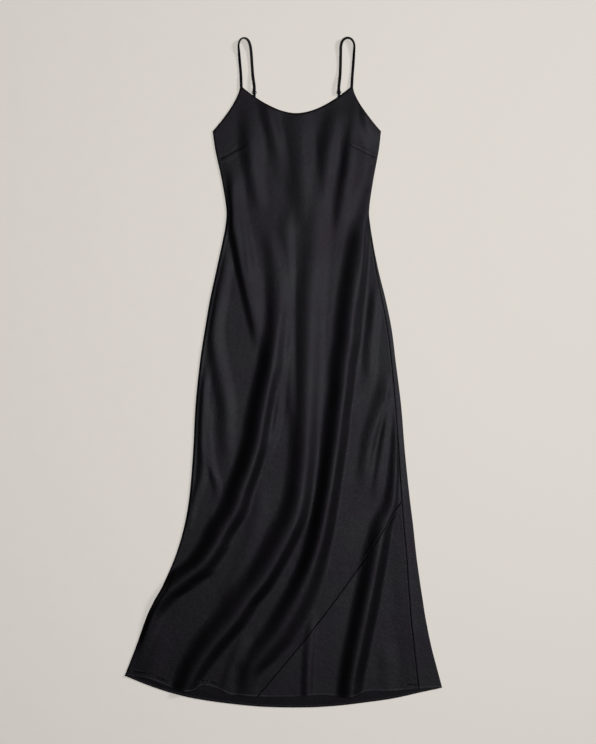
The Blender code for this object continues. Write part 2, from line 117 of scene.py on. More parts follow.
# Each fold of the front: where its crest runs, how high it stands over the flat cloth, and
# how far each of its slopes reaches to the left and right of the crest.
FOLDS = {
    "waist_left": (
        Ridge(481, -103, 0.0, 19, 22), Ridge(427, -105, 2.0, 19, 26),
        Ridge(373, -108, 3.0, 19, 30), Ridge(325, -107, 4.0, 19, 35),
        Ridge(273, -98, 4.5, 19, 39), Ridge(221, -88, 4.5, 19, 41),
        Ridge(171, -77, 4.0, 19, 39), Ridge(124, -66, 3.5, 19, 35),
        Ridge(76, -58, 2.5, 17, 30), Ridge(31, -57, 0.0, 17, 26),
    ),
    "waist_twin": (
        Ridge(383, -94, 0.0, 13, 15), Ridge(340, -88, 1.0, 13, 17),
        Ridge(286, -79, 1.2, 13, 17), Ridge(232, -73, 1.0, 13, 17),
        Ridge(167, -64, 0.0, 13, 15),
    ),
    "hip_left": (
        Ridge(297, -120, 0.0, 13, 17), Ridge(238, -124, 1.5, 17, 19),
        Ridge(184, -133, 2.0, 19, 22), Ridge(130, -144, 2.5, 19, 24),
        Ridge(80, -150, 2.5, 19, 26), Ridge(31, -145, 2.5, 22, 28),
        Ridge(-21, -133, 2.5, 26, 28), Ridge(-71, -124, 2.5, 26, 26),
        Ridge(-125, -123, 2.0, 26, 24), Ridge(-179, -122, 1.0, 24, 22),
        Ridge(-229, -122, 0.0, 22, 22),
    ),
    "edge_left": (
        Ridge(37, -161, 0.0, 13, 13), Ridge(-17, -170, 2.0, 15, 15),
        Ridge(-82, -174, 2.5, 15, 15), Ridge(-147, -176, 2.5, 15, 15),
        Ridge(-201, -174, 2.5, 17, 17), Ridge(-244, -181, 2.0, 17, 17),
        Ridge(-292, -200, 2.0, 17, 17), Ridge(-342, -209, 1.5, 17, 17),
        Ridge(-374, -215, 0.0, 17, 17),
    ),
    "edge_left_twin": (
        Ridge(-28, -163, 0.0, 9, 11), Ridge(-82, -162, 1.0, 11, 11),
        Ridge(-143, -162, 1.2, 11, 13), Ridge(-201, -157, 1.5, 13, 15),
        Ridge(-255, -144, 1.5, 13, 15), Ridge(-298, -155, 0.0, 13, 13),
    ),
    "sweep_left": (
        Ridge(340, -47, 0.0, 26, 26), Ridge(286, -27, 2.0, 28, 26),
        Ridge(232, -16, 3.0, 30, 26), Ridge(178, -12, 4.0, 32, 26),
        Ridge(124, -12, 6.0, 35, 26), Ridge(70, -16, 8.0, 37, 26),
        Ridge(15, -23, 10.0, 39, 26), Ridge(-39, -34, 10.5, 41, 26),
        Ridge(-93, -44, 11.0, 43, 26), Ridge(-147, -53, 11.0, 43, 26),
        Ridge(-201, -68, 11.0, 43, 26), Ridge(-255, -88, 11.0, 43, 28),
        Ridge(-298, -103, 11.0, 43, 30), Ridge(-342, -129, 11.0, 43, 30),
        Ridge(-381, -150, 11.0, 41, 32), Ridge(-420, -179, 11.0, 39, 32),
        Ridge(-454, -222, 10.0, 37, 32), Ridge(-482, -256, 9.0, 30, 32),
        Ridge(-515, -282, 7.0, 22, 32), Ridge(-547, -293, 5.0, 17, 30),
        Ridge(-601, -311, 2.0, 13, 26), Ridge(-640, -324, 0.0, 13, 22),
    ),
    "sweep_left_low": (
        Ridge(91, 10, 0.0, 17, 17), Ridge(48, 1, 2.0, 17, 17), Ridge(-6, -5, 2.5, 17, 17),
        Ridge(-60, -10, 2.5, 17, 17), Ridge(-114, -18, 2.5, 17, 17),
        Ridge(-168, -34, 2.0, 17, 17), Ridge(-223, -49, 0.0, 17, 17),
    ),
    "plateau_mid": (
        Ridge(-212, -47, 0.0, 22, 22), Ridge(-277, -47, 1.0, 26, 26),
        Ridge(-342, -64, 1.0, 26, 26), Ridge(-407, -85, 1.0, 26, 26),
        Ridge(-471, -116, 1.0, 26, 26), Ridge(-536, -155, 0.0, 26, 26),
    ),
    "sweep_middle": (
        Ridge(394, 75, 0.0, 39, 39), Ridge(340, 73, 1.5, 39, 39), Ridge(275, 68, 3.0, 41, 39),
        Ridge(210, 62, 4.0, 41, 39), Ridge(145, 57, 5.0, 43, 39), Ridge(80, 56, 5.5, 43, 37),
        Ridge(15, 54, 6.0, 43, 37), Ridge(-49, 52, 6.5, 43, 35), Ridge(-114, 50, 7.0, 43, 32),
        Ridge(-168, 48, 8.0, 43, 30), Ridge(-223, 43, 8.5, 43, 30),
        Ridge(-277, 36, 9.5, 45, 30), Ridge(-320, 25, 10.5, 50, 30),
        Ridge(-363, 5, 11.0, 52, 30), Ridge(-407, -18, 11.5, 54, 30),
        Ridge(-450, -44, 11.5, 54, 30), Ridge(-493, -77, 11.5, 54, 30),
        Ridge(-536, -107, 11.5, 52, 32), Ridge(-580, -144, 11.0, 48, 32),
        Ridge(-619, -174, 10.0, 43, 32), Ridge(-655, -196, 9.0, 39, 30),
        Ridge(-694, -213, 7.0, 35, 28),
    ),
    "centre_left": (
        Ridge(394, 14, 0.0, 22, 17), Ridge(308, 8, 1.5, 26, 19), Ridge(221, 10, 2.0, 26, 19),
        Ridge(135, 10, 2.0, 26, 19), Ridge(48, 12, 2.0, 22, 17), Ridge(-60, 14, 1.5, 17, 17),
        Ridge(-147, 14, 0.0, 17, 17),
    ),
    "sweep_right": (
        Ridge(448, 189, 0.0, 30, 11), Ridge(405, 187, 1.5, 32, 13),
        Ridge(362, 183, 3.0, 35, 15), Ridge(318, 174, 5.0, 37, 17),
        Ridge(275, 168, 7.0, 39, 19), Ridge(232, 163, 8.0, 41, 22),
        Ridge(178, 156, 9.0, 43, 24), Ridge(124, 149, 9.5, 43, 24),
        Ridge(70, 144, 10.0, 43, 24), Ridge(15, 136, 10.0, 43, 24),
        Ridge(-39, 131, 10.5, 41, 24), Ridge(-93, 124, 10.5, 41, 24),
        Ridge(-147, 117, 11.0, 39, 26), Ridge(-201, 109, 11.0, 37, 26),
        Ridge(-255, 101, 11.5, 37, 26), Ridge(-309, 91, 12.0, 37, 28),
        Ridge(-352, 82, 12.0, 37, 30), Ridge(-396, 70, 12.0, 37, 32),
        Ridge(-439, 55, 11.5, 39, 37), Ridge(-482, 36, 11.0, 41, 41),
        Ridge(-526, 13, 10.5, 43, 43), Ridge(-569, -12, 9.5, 43, 41),
        Ridge(-606, -40, 8.0, 41, 37), Ridge(-640, -66, 6.0, 37, 32),
        Ridge(-677, -77, 3.0, 32, 28), Ridge(-705, -81, 1.0, 28, 26),
    ),
    "sweep_right_low": (
        Ridge(340, 183, 0.0, 11, 11), Ridge(286, 179, 1.0, 11, 13),
        Ridge(232, 174, 1.5, 13, 13), Ridge(156, 168, 1.5, 13, 15),
        Ridge(70, 159, 1.5, 13, 15), Ridge(-6, 150, 1.0, 13, 15),
        Ridge(-71, 144, 0.0, 13, 15),
    ),
    "hip_right": (
        Ridge(221, 205, 0.0, 15, 13), Ridge(156, 199, 2.0, 19, 17),
        Ridge(102, 194, 2.5, 22, 19), Ridge(48, 189, 2.5, 22, 19),
        Ridge(-6, 187, 2.0, 22, 19), Ridge(-60, 179, 0.0, 22, 19),
    ),
    "hip_right_mid": (
        Ridge(26, 230, 0.0, 17, 11), Ridge(-39, 222, 2.5, 30, 13),
        Ridge(-82, 210, 3.5, 30, 15), Ridge(-125, 196, 3.5, 28, 17),
        Ridge(-168, 185, 3.0, 26, 17), Ridge(-223, 177, 2.0, 24, 19),
        Ridge(-277, 170, 0.0, 24, 19),
    ),
    "hip_right_low": (
        Ridge(-6, 228, 0.0, 11, 11), Ridge(-60, 226, 1.5, 11, 13),
        Ridge(-125, 220, 2.0, 13, 15), Ridge(-190, 211, 2.0, 15, 17),
        Ridge(-255, 202, 1.5, 17, 17), Ridge(-309, 192, 0.0, 17, 17),
    ),
    "gore": (
        Ridge(-60, 241, 0.0, 11, 6), Ridge(-125, 243, 1.5, 13, 6),
        Ridge(-190, 243, 2.5, 17, 8), Ridge(-244, 241, 3.5, 22, 10),
        Ridge(-288, 235, 5.0, 30, 15), Ridge(-324, 221, 7.0, 35, 19),
        Ridge(-363, 211, 9.0, 37, 24), Ridge(-407, 202, 10.0, 39, 26),
        Ridge(-450, 194, 10.5, 39, 26), Ridge(-493, 185, 11.0, 39, 28),
        Ridge(-536, 176, 11.0, 39, 28), Ridge(-580, 167, 11.0, 39, 28),
        Ridge(-623, 158, 11.0, 39, 28), Ridge(-666, 150, 10.5, 37, 28),
        Ridge(-705, 146, 9.5, 37, 28),
    ),
    "hem_ridge": (
        Ridge(-493, 70, 0.0, 13, 11), Ridge(-547, 62, 1.5, 17, 13),
        Ridge(-601, 57, 2.5, 19, 15), Ridge(-655, 54, 3.0, 19, 15),
        Ridge(-710, 53, 3.0, 19, 15),
    ),
    "hem_gore": (
        Ridge(-536, 222, 0.0, 26, 26), Ridge(-591, 224, 0.8, 26, 26),
        Ridge(-634, 226, 1.2, 26, 26), Ridge(-677, 226, 1.0, 26, 26),
        Ridge(-710, 226, 0.8, 26, 26),
    ),
    "hem_left": (
        Ridge(-515, -246, 0.0, 39, 39), Ridge(-580, -267, 1.0, 39, 39),
        Ridge(-634, -282, 1.2, 39, 39), Ridge(-688, -298, 1.0, 39, 39),
    ),
    "hem_middle": (
        Ridge(-536, -73, 0.0, 17, 22), Ridge(-580, -88, 1.5, 19, 26),
        Ridge(-623, -105, 1.5, 19, 26), Ridge(-666, -120, 1.5, 19, 26),
        Ridge(-705, -129, 1.0, 19, 26),
    ),
    "bust_left": (
        Ridge(637, -38, 0.0, 22, 22), Ridge(578, -34, 2.5, 26, 24),
        Ridge(535, -25, 3.5, 28, 24), Ridge(492, -14, 2.5, 28, 24),
        Ridge(437, -5, 1.0, 26, 24), Ridge(373, 3, 0.0, 26, 24),
    ),
    "bust_left_side": (
        Ridge(611, -77, 0.0, 26, 30), Ridge(546, -73, 2.0, 30, 35),
        Ridge(492, -70, 4.0, 32, 35), Ridge(437, -66, 3.5, 30, 30),
        Ridge(383, -57, 2.0, 26, 26), Ridge(308, -44, 0.0, 22, 22),
    ),
    "bust_right": (
        Ridge(632, 159, 0.0, 30, 35), Ridge(567, 155, 3.0, 35, 39),
        Ridge(502, 148, 6.0, 35, 43), Ridge(448, 144, 7.0, 35, 43),
        Ridge(394, 135, 6.0, 35, 43), Ridge(340, 127, 4.0, 30, 43),
        Ridge(264, 114, 0.0, 26, 39),
    ),
    "bust_right_side": (
        Ridge(621, 124, 0.0, 35, 30), Ridge(557, 116, 3.0, 39, 32),
        Ridge(492, 103, 5.0, 39, 32), Ridge(427, 94, 4.5, 37, 32),
        Ridge(362, 85, 3.0, 35, 32), Ridge(264, 79, 0.0, 30, 30),
    ),
    "underarm_right": (
        Ridge(632, 170, 0.0, 17, 30), Ridge(578, 179, 3.0, 19, 32),
        Ridge(535, 183, 4.0, 22, 28), Ridge(502, 189, 2.5, 22, 22),
        Ridge(463, 200, 0.0, 17, 17),
    ),
    "bust_centre": (
        Ridge(611, 34, 0.0, 43, 30), Ridge(546, 36, 2.5, 48, 32), Ridge(481, 40, 4.0, 48, 35),
        Ridge(416, 44, 4.5, 48, 39), Ridge(351, 49, 3.5, 48, 43), Ridge(264, 53, 0.0, 48, 48),
    ),
    "side_left": (
        Ridge(502, -127, 0.0, 17, 17), Ridge(448, -120, 0.8, 17, 17),
        Ridge(394, -114, 0.8, 17, 17), Ridge(340, -111, 0.0, 17, 17),
    ),
}

# Each strap from the front neckline, over its loop, down to its ring. Twist 0 lies flat, 90
# stands on edge.
STRAP_WIDTH = 6.0
STRAP_THICK = 1.6
STRAPS = {
    "strap_left": (
        Lay(-91, 612, 0), Lay(-92, 641, 4), Lay(-94, 666, 10), Lay(-96, 690, 26),
        Lay(-97, 708, 48), Lay(-93, 719, 50), Lay(-85, 723, 50), Lay(-77, 719, 40),
        Lay(-72, 708, 28), Lay(-69.5, 690, 14), Lay(-68, 666, 8), Lay(-66, 641, 4),
        Lay(-63, 618, 0), Lay(-63, 607.2, 0),
    ),
    "strap_right": (
        Lay(147.5, 612, 0), Lay(149, 641, 4), Lay(151, 666, 10), Lay(152.5, 690, 26),
        Lay(153, 708, 48), Lay(148, 719, 50), Lay(139, 723, 50), Lay(130, 719, 40),
        Lay(125, 708, 28), Lay(124, 690, 14), Lay(123.5, 666, 8), Lay(122.5, 641, 4),
        Lay(120, 618, 0), Lay(120, 607.2, 0),
    ),
}
RING_Y = 605
RING_WIRE = 0.6
RING_HALF_WIDTH = 4.3
RING_HALF_HEIGHT = 2.2
RING_CORNER = 1.4
WRAP = RING_WIRE + GAP + 0.5 * WALL
RING_Z = 0.5 * WALL + WRAP
STRAP_END = 6.0
TAB_END = 1.2
RINGS = {"left": -63, "right": 120}

# FADE is how far a fold that ends at no height eases in, SIDE_EASE how far folds ease in from
# the left edge, and CORNER_FLOOR the lowest that any of the front comes.
FADE = 80
SIDE_EASE = 14
CORNER_FLOOR = 0.1

# The front's mesh has YOKE_ROWS rows above YOKE_Y and SKIRT_ROWS evenly spaced ones from there
# to SKIRT_END_Y, close enough to carry each fold.
YOKE_Y = 480
YOKE_ROWS = 40
SKIRT_END_Y = -678
SKIRT_ROWS = 460


def along(rows, column, at):
    """The named column at places along the rows' first column, as a smooth curve."""
    rising = rows if rows[0][0] < rows[-1][0] else rows[::-1]
    places = np.array([row[0] for row in rising], float)
    values = np.array([getattr(row, column) for row in rising], float)
    tangents = np.empty_like(values)
    tangents[0] = (values[1] - values[0]) / (places[1] - places[0])
    tangents[-1] = (values[-1] - values[-2]) / (places[-1] - places[-2])
    tangents[1:-1] = (values[2:] - values[:-2]) / (places[2:] - places[:-2])
    at = np.clip(np.asarray(at, float), places[0], places[-1])
    i = np.clip(np.searchsorted(places, at, "right") - 1, 0, len(places) - 2)
    step = places[i + 1] - places[i]
    t = (at - places[i]) / step
    return (
        (1 + 2 * t) * (1 - t) ** 2 * values[i]
        + t * (1 - t) ** 2 * step * tangents[i]
        + t * t * (3 - 2 * t) * values[i + 1]
        + t * t * (t - 1) * step * tangents[i + 1]
    )


def ramp(value, start, end):
    """0 at start, 1 at end, eased between."""
    t = np.clip((np.asarray(value, float) - start) / (np.asarray(end, float) - start), 0, 1)
    return t * t * (3 - 2 * t)


def bump(distance, reach):
    """A soft rise, 1 at no distance and nearly 0 at twice its reach."""
    return np.exp(-((distance / reach) ** 2))


def spread(stations, counts):
    """The stations with each span between two of them divided into its count of steps."""
    out = [stations[0]]
    for a, b, count in zip(stations, stations[1:], counts):
        out += [a + (b - a) * k / count for k in range(1, count + 1)]
    return np.array(out, float)


def add_ridge(total, rows, x, y):
    """Adds one fold's lift to the total, where it reaches."""
    near = (y <= rows[0].y) & (y >= rows[-1].y)
    xs = x[near]
    ys = y[near]
    crest = along(rows, "x", ys)
    lean = (along(rows, "x", ys + 5) - along(rows, "x", ys - 5)) / 10
    away = (xs - crest) / np.sqrt(1 + lean * lean)
    reach = np.where(away < 0, along(rows, "left", ys), along(rows, "right", ys))
    t = np.clip(np.abs(away) / reach, 0, 1)
    height = along(rows, "height", ys)
    if rows[0].height == 0:
        height *= ramp(ys, rows[0].y, rows[0].y - FADE)
    if rows[-1].height == 0:
        height *= ramp(ys, rows[-1].y, rows[-1].y + FADE)
    total[near] += height * 0.5 * (1 + np.cos(math.pi * t))


def fold_height(x, y):
    """All the folds' lift over the flat cloth."""
    total = np.zeros(np.broadcast(x, y).shape)
    for rows in FOLDS.values():
        add_ridge(total, rows, x, y)
    return total


def gore_x(y):
    """The diagonal seam, which bows a little towards the hem."""
    t = np.clip((GORE_TOP_Y - np.asarray(y, float)) / (GORE_TOP_Y - GORE_HEM.y), 0.0, 1.0)
    start = along(SECTIONS, "seam", GORE_TOP_Y)
    return start + (GORE_HEM.x - start) * t + GORE_SAG * np.sin(math.pi * t)


def gore_distance(x, y):
    """How far a point lies from the diagonal seam, square to it."""
    lean = (gore_x(y + 4) - gore_x(y - 4)) / 8
    return (x - gore_x(y)) / np.sqrt(1 + lean * lean)


def seam_relief(distance, run):
    """A sewn seam: a pressed ridge over its allowance, small puckers, and the edge rolled in."""
    pucker = np.sin(run / 3.1 + 1.7 * np.sin(run / 23)) * (0.6 + 0.4 * np.sin(run / 37))
    return (
        0.22 * bump(distance - 3.0, 3.5)
        + 0.07 * pucker * bump(distance - 1.5, 4.0)
        - 0.55 * bump(distance, 0.7)
    )


def front_level(x, y):
    """The height of the front: folds over its rest level, and level with the turn at its seam."""
    seam = along(SECTIONS, "seam", y)
    left = along(SECTIONS, "left", y)
    lift = (TURN_TOP - REST) * ramp(y, 312, 262) * ramp(x - seam, -45, -3)
    level = REST + lift + fold_height(x, y) * ramp(x - left, 0, SIDE_EASE)
    below = y < GORE_TOP_Y
    level += np.where(below, seam_relief(np.abs(gore_distance(x, y)), x * 1.6), 0)
    level += seam_relief(seam - x, y) * ramp(y, 330, 290)
    level += 0.5 * bump(x - left - 4.5, 2.2) * ramp(y, 400, 300) * ramp(y, -420, -300)
    level -= (REST - WALL) * bump(x - left, 1.6)
    for (x0, y0), (x1, y1) in DARTS:
        length = math.hypot(x1 - x0, y1 - y0)
        run = ((x - x0) * (x1 - x0) + (y - y0) * (y1 - y0)) / length
        off = ((x - x0) * (y1 - y0) - (y - y0) * (x1 - x0)) / length
        fade = ramp(run, length + 10, length - 14) * ramp(run, -8, 2)
        level += fade * (0.35 * bump(off - 4.0, 4.0) - 0.30 * bump(off, 3.0))
    return np.maximum(level, LOWEST)


def front_right(y):
    """The front's right edge: the side seam, then the gore seam below it."""
    side = along(SECTIONS, "seam", y) - 0.5 * GAP
    return np.where(y > GORE_TOP_Y - 1, side, gore_x(y) - 0.5 * GAP)


def top_edge(x, left, right, low_y, peak_y, underarm_y):
    """The height of a neckline and its armholes at x, with a flat peak for each strap."""
    half = 0.5 * PEAK_WIDTH
    start = float(along(SECTIONS, "left", UNDERARM_Y))
    end = float(along(SECTIONS, "right", UNDERARM_Y))
    t_left = np.clip((left - half - x) / (left - half - start), 0, 1)
    t_right = np.clip((x - right - half) / (end - right - half), 0, 1)
    reach = np.where(x < NECK_LOW_X, NECK_LOW_X - left - half, right - half - NECK_LOW_X)
    t_neck = np.clip(np.abs(x - NECK_LOW_X) / reach, 0, 1)
    arm = peak_y - (peak_y - underarm_y) * np.maximum(t_left, t_right) ** (1 / ARMHOLE_POWER)
    neck = low_y + (peak_y - low_y) * t_neck ** NECK_POWER
    return np.minimum(arm, neck)


def panel_shares(left, right, counts, rims):
    """Where the columns stand, as shares of the width, closer together by the side edges."""
    start = float(along(SECTIONS, "left", UNDERARM_Y))
    end = float(along(SECTIONS, "right", UNDERARM_Y))
    half = 0.5 * PEAK_WIDTH
    stations = (start, left - half, left + half, right - half, right + half, end)
    shares = (spread(stations, counts) - start) / (end - start)
    extra = np.array(rims)
    return np.unique(np.concatenate([shares, extra, 1 - extra]))


def settled(share, y, hem, left_of, right_of, pull, clear):
    """Points at these shares of the width, drawn by pull to this clearance above the hem."""
    at = np.full_like(share, y)
    for _ in range(8):
        x = left_of(at) + (right_of(at) - left_of(at)) * share
        at = y + (along(hem, "y", x) + clear - y) * pull
    return x, at


RIM_SHARES = (0.001, 0.0025, 0.0045, 0.008, 0.0125)
HEM_CLEARS = (10, 8.2, 6.8, 5.8, 5.0, 4.4, 3.9, 3.3, 2.5, 1.7, 0.9, 0.3, 0.0)
HEM_START = 12.0


def hem_rows(share, ys, hem, left_of, right_of):
    """Rows from the first of ys down to the hem, and how far each point is from the hem."""
    rows = []
    for y in ys:
        pull = float(ramp(y, ys[0] if ys[0] < -540 else -540, ys[-1]))
        rows.append(settled(share, y, hem, left_of, right_of, pull, HEM_START))
    for clear in HEM_CLEARS:
        rows.append(settled(share, ys[-1], hem, left_of, right_of, 1.0, clear))
    x = np.array([row[0] for row in rows])
    y = np.array([row[1] for row in rows])
    return x, y


def hem_relief(clear, run):
    """A narrow turned hem: a doubled edge with a line of stitches along its top."""
    stitch = 0.5 + 0.5 * np.cos(2 * math.pi * run / 2.6)
    return (
        0.40 * ramp(clear, 5.2, 3.6)
        - (0.22 + 0.10 * stitch) * bump(clear - 4.2, 0.55)
        + 0.12 * np.sin(run / 5.3 + 2 * np.sin(run / 31)) * bump(clear - 3, 5)
    )


def rolled(x, y, z, sides):
    """The grid with each named side turned down and under, so its edge has a thickness."""
    for side, depth in sides.items():
        turned = side in ("left", "right")
        first = side in ("top", "left")
        grids = [g.T if turned else g for g in (x, y, z)]
        grids = [g[::-1] if first else g for g in grids]
        gx, gy, gz = grids
        out_x = gx[-1] - gx[-2]
        out_y = gy[-1] - gy[-2]
        size = np.maximum(np.hypot(out_x, out_y), 1e-6)
        out_x = out_x / size
        out_y = out_y / size
        new_x = [gx]
        new_y = [gy]
        new_z = [gz]
        for across, down in ((0.25, 0.25), (0.32, 0.6), (0.15, 0.95), (-0.9, 1.15)):
            new_x.append((gx[-1] + out_x * across)[None])
            new_y.append((gy[-1] + out_y * across)[None])
            new_z.append((gz[-1] - down * depth)[None])
        grids = [np.concatenate(g) for g in (new_x, new_y, new_z)]
        grids = [g[::-1] if first else g for g in grids]
        x, y, z = [g.T if turned else g for g in grids]
    return x, y, z


def sheet_mesh(name, x, y, z, material):
    """A mesh through a grid of points, its UVs in metres along the cloth as it lies."""
    rows, columns = x.shape
    xyz = np.stack([x, y, z], axis=-1).reshape(-1, 3) * MM
    index = np.arange(rows * columns).reshape(rows, columns)
    faces = np.stack(
        [index[:-1, :-1], index[1:, :-1], index[1:, 1:], index[:-1, 1:]], axis=-1
    ).reshape(-1, 4)
    mesh = bpy.data.meshes.new(name)
    mesh.from_pydata(xyz.tolist(), [], faces.tolist())
    layer = mesh.uv_layers.new(name="UVMap")
    corners = np.empty(len(mesh.loops), np.int32)
    mesh.loops.foreach_get("vertex_index", corners)
    layer.data.foreach_set("uv", xyz[corners, :2].astype(np.float32).ravel())
    mesh.shade_smooth()
    mesh.materials.append(material)
    made = bpy.data.objects.new(name, mesh)
    bpy.context.scene.collection.objects.link(made)
    return made


def node_maker(material):
    """Short ways to add a node with its settings, and to link sockets."""
    tree = material.node_tree

    def add(kind, inputs=None, **settings):
        node = tree.nodes.new(kind)
        for key, value in settings.items():
            setattr(node, key, value)
        for key, value in (inputs or {}).items():
            if isinstance(value, bpy.types.NodeSocket):
                tree.links.new(value, node.inputs[key])
            else:
                node.inputs[key].default_value = value
        return node

    return tree, add


def stitched_line(add, place, start, end):
    """1 along a sewn line between two points, 0 away from it."""
    run = (end[0] - start[0], end[1] - start[1])
    local = add(
        "ShaderNodeMapping",
        {"Vector": place, "Location": (start[0] * MM, start[1] * MM, 0),
         "Rotation": (0, 0, math.atan2(run[1], run[0]))},
        vector_type="TEXTURE",
    )
    parts = add("ShaderNodeSeparateXYZ", {"Vector": local.outputs["Vector"]})
    off = add("ShaderNodeMath", {0: parts.outputs["Y"]}, operation="ABSOLUTE")
    near = add(
        "ShaderNodeMapRange",
        {"Value": off.outputs["Value"], "From Min": 0.0002, "From Max": 0.0009,
         "To Min": 1.0, "To Max": 0.0},
    )
    length = math.hypot(*run) * MM
    before = add(
        "ShaderNodeMapRange",
        {"Value": parts.outputs["X"], "From Min": -0.001, "From Max": 0.001},
    )
    after = add(
        "ShaderNodeMapRange",
        {"Value": parts.outputs["X"], "From Min": length - 0.006, "From Max": length,
         "To Min": 1.0, "To Max": 0.0},
    )
    ends = add(
        "ShaderNodeMath", {0: before.outputs["Result"], 1: after.outputs["Result"]},
        operation="MULTIPLY",
    )
    return add(
        "ShaderNodeMath", {0: near.outputs["Result"], 1: ends.outputs["Value"]},
        operation="MULTIPLY",
    ).outputs["Value"]


def satin(name, specular, roughness, grain, lines=()):
    """Satin: a near-black body, a broad sheen that drifts between cool and violet, slubs along
    the bias and a fine weave."""
    made = bpy.data.materials.new(name)
    made.use_nodes = True
    tree, add = node_maker(made)
    shader = tree.nodes["Principled BSDF"]
    place = add("ShaderNodeTexCoord")
    bias = add(
        "ShaderNodeMapping",
        {"Vector": place.outputs["Object"], "Rotation": (0, 0, math.radians(grain))},
    )
    slub_place = add(
        "ShaderNodeMapping", {"Vector": bias.outputs["Vector"], "Scale": (520, 150, 300)}
    )
    weave_place = add(
        "ShaderNodeMapping", {"Vector": bias.outputs["Vector"], "Scale": (1900, 700, 900)}
    )
    slubs = add(
        "ShaderNodeTexNoise",
        {"Vector": slub_place.outputs["Vector"], "Scale": 1.0, "Detail": 2.0},
    )
    weave = add(
        "ShaderNodeTexNoise",
        {"Vector": weave_place.outputs["Vector"], "Scale": 1.0, "Detail": 1.0},
    )
    cloudy = add(
        "ShaderNodeTexNoise",
        {"Vector": bias.outputs["Vector"], "Scale": 9.0, "Detail": 2.0},
    )
    soft = add(
        "ShaderNodeTexNoise",
        {"Vector": bias.outputs["Vector"], "Scale": 45.0, "Detail": 3.0},
    )
    drift = add(
        "ShaderNodeMapRange",
        {"Value": cloudy.outputs["Fac"], "From Min": 0.35, "From Max": 0.65},
    )
    tint = add("ShaderNodeMix", {"Factor": drift.outputs["Result"]}, data_type="RGBA")
    tint.inputs[6].default_value = (0.88, 0.90, 1.0, 1)
    tint.inputs[7].default_value = (0.92, 0.81, 1.0, 1)
    tree.links.new(tint.outputs[2], shader.inputs["Specular Tint"])
    body = add("ShaderNodeMix", {"Factor": soft.outputs["Fac"]}, data_type="RGBA")
    body.inputs[6].default_value = (0.0002, 0.0002, 0.0003, 1)
    body.inputs[7].default_value = (0.0008, 0.0007, 0.0010, 1)
    tree.links.new(body.outputs[2], shader.inputs["Base Color"])
    shine = add(
        "ShaderNodeMapRange",
        {"Value": slubs.outputs["Fac"], "From Min": 0.25, "From Max": 0.75,
         "To Min": specular * 0.79, "To Max": specular * 1.21},
    )
    level = shine.outputs["Result"]
    height = None
    for start, end in lines:
        mask = stitched_line(add, place.outputs["Object"], start, end)
        # Painted shade along each sewn line: its sheen is dimmed there, besides the real groove that
        # the bump below gives it.
        dim = add("ShaderNodeMath", {0: mask, 1: -0.6, 2: 1.0}, operation="MULTIPLY_ADD")
        level = add(
            "ShaderNodeMath", {0: level, 1: dim.outputs["Value"]}, operation="MULTIPLY"
        ).outputs["Value"]
        groove = add("ShaderNodeMath", {0: mask, 1: -1.0}, operation="MULTIPLY")
        height = groove.outputs["Value"] if height is None else add(
            "ShaderNodeMath", {0: height, 1: groove.outputs["Value"]}
        ).outputs["Value"]
    tree.links.new(level, shader.inputs["Specular IOR Level"])
    gloss = add(
        "ShaderNodeMapRange",
        {"Value": cloudy.outputs["Fac"], "From Min": 0.3, "From Max": 0.7,
         "To Min": roughness - 0.02, "To Max": roughness + 0.02},
    )
    tree.links.new(gloss.outputs["Result"], shader.inputs["Roughness"])
    fine = add(
        "ShaderNodeBump",
        {"Height": weave.outputs["Fac"], "Strength": 1.0, "Distance": 0.00005},
    )
    threads = add(
        "ShaderNodeBump",
        {"Height": slubs.outputs["Fac"], "Strength": 1.0, "Distance": 0.00031,
         "Normal": fine.outputs["Normal"]},
    )
    waves = add(
        "ShaderNodeBump",
        {"Height": soft.outputs["Fac"], "Strength": 1.0, "Distance": 0.0004,
         "Normal": threads.outputs["Normal"]},
    )
    normal = waves.outputs["Normal"]
    if lines:
        normal = add(
            "ShaderNodeBump",
            {"Height": height, "Strength": 1.0, "Distance": 0.0004, "Normal": normal},
        ).outputs["Normal"]
    tree.links.new(normal, shader.inputs["Normal"])
    return made


front_cloth = satin("front_satin_cloth", 0.150, 0.47, 45, DARTS)
gore_cloth = satin("gore_satin_cloth", 0.150, 0.47, -32)
back_cloth = satin("back_satin_cloth", 0.158, 0.47, 45)
back_inside = satin("back_satin_inside", 0.12, 0.55, 45)
strap_cloth = satin("strap_satin_cloth", 0.10, 0.55, 45)


def left_of(at):
    """The laid dress's left side, which runs straight up above the underarm."""
    return along(SECTIONS, "left", np.minimum(at, UNDERARM_Y))


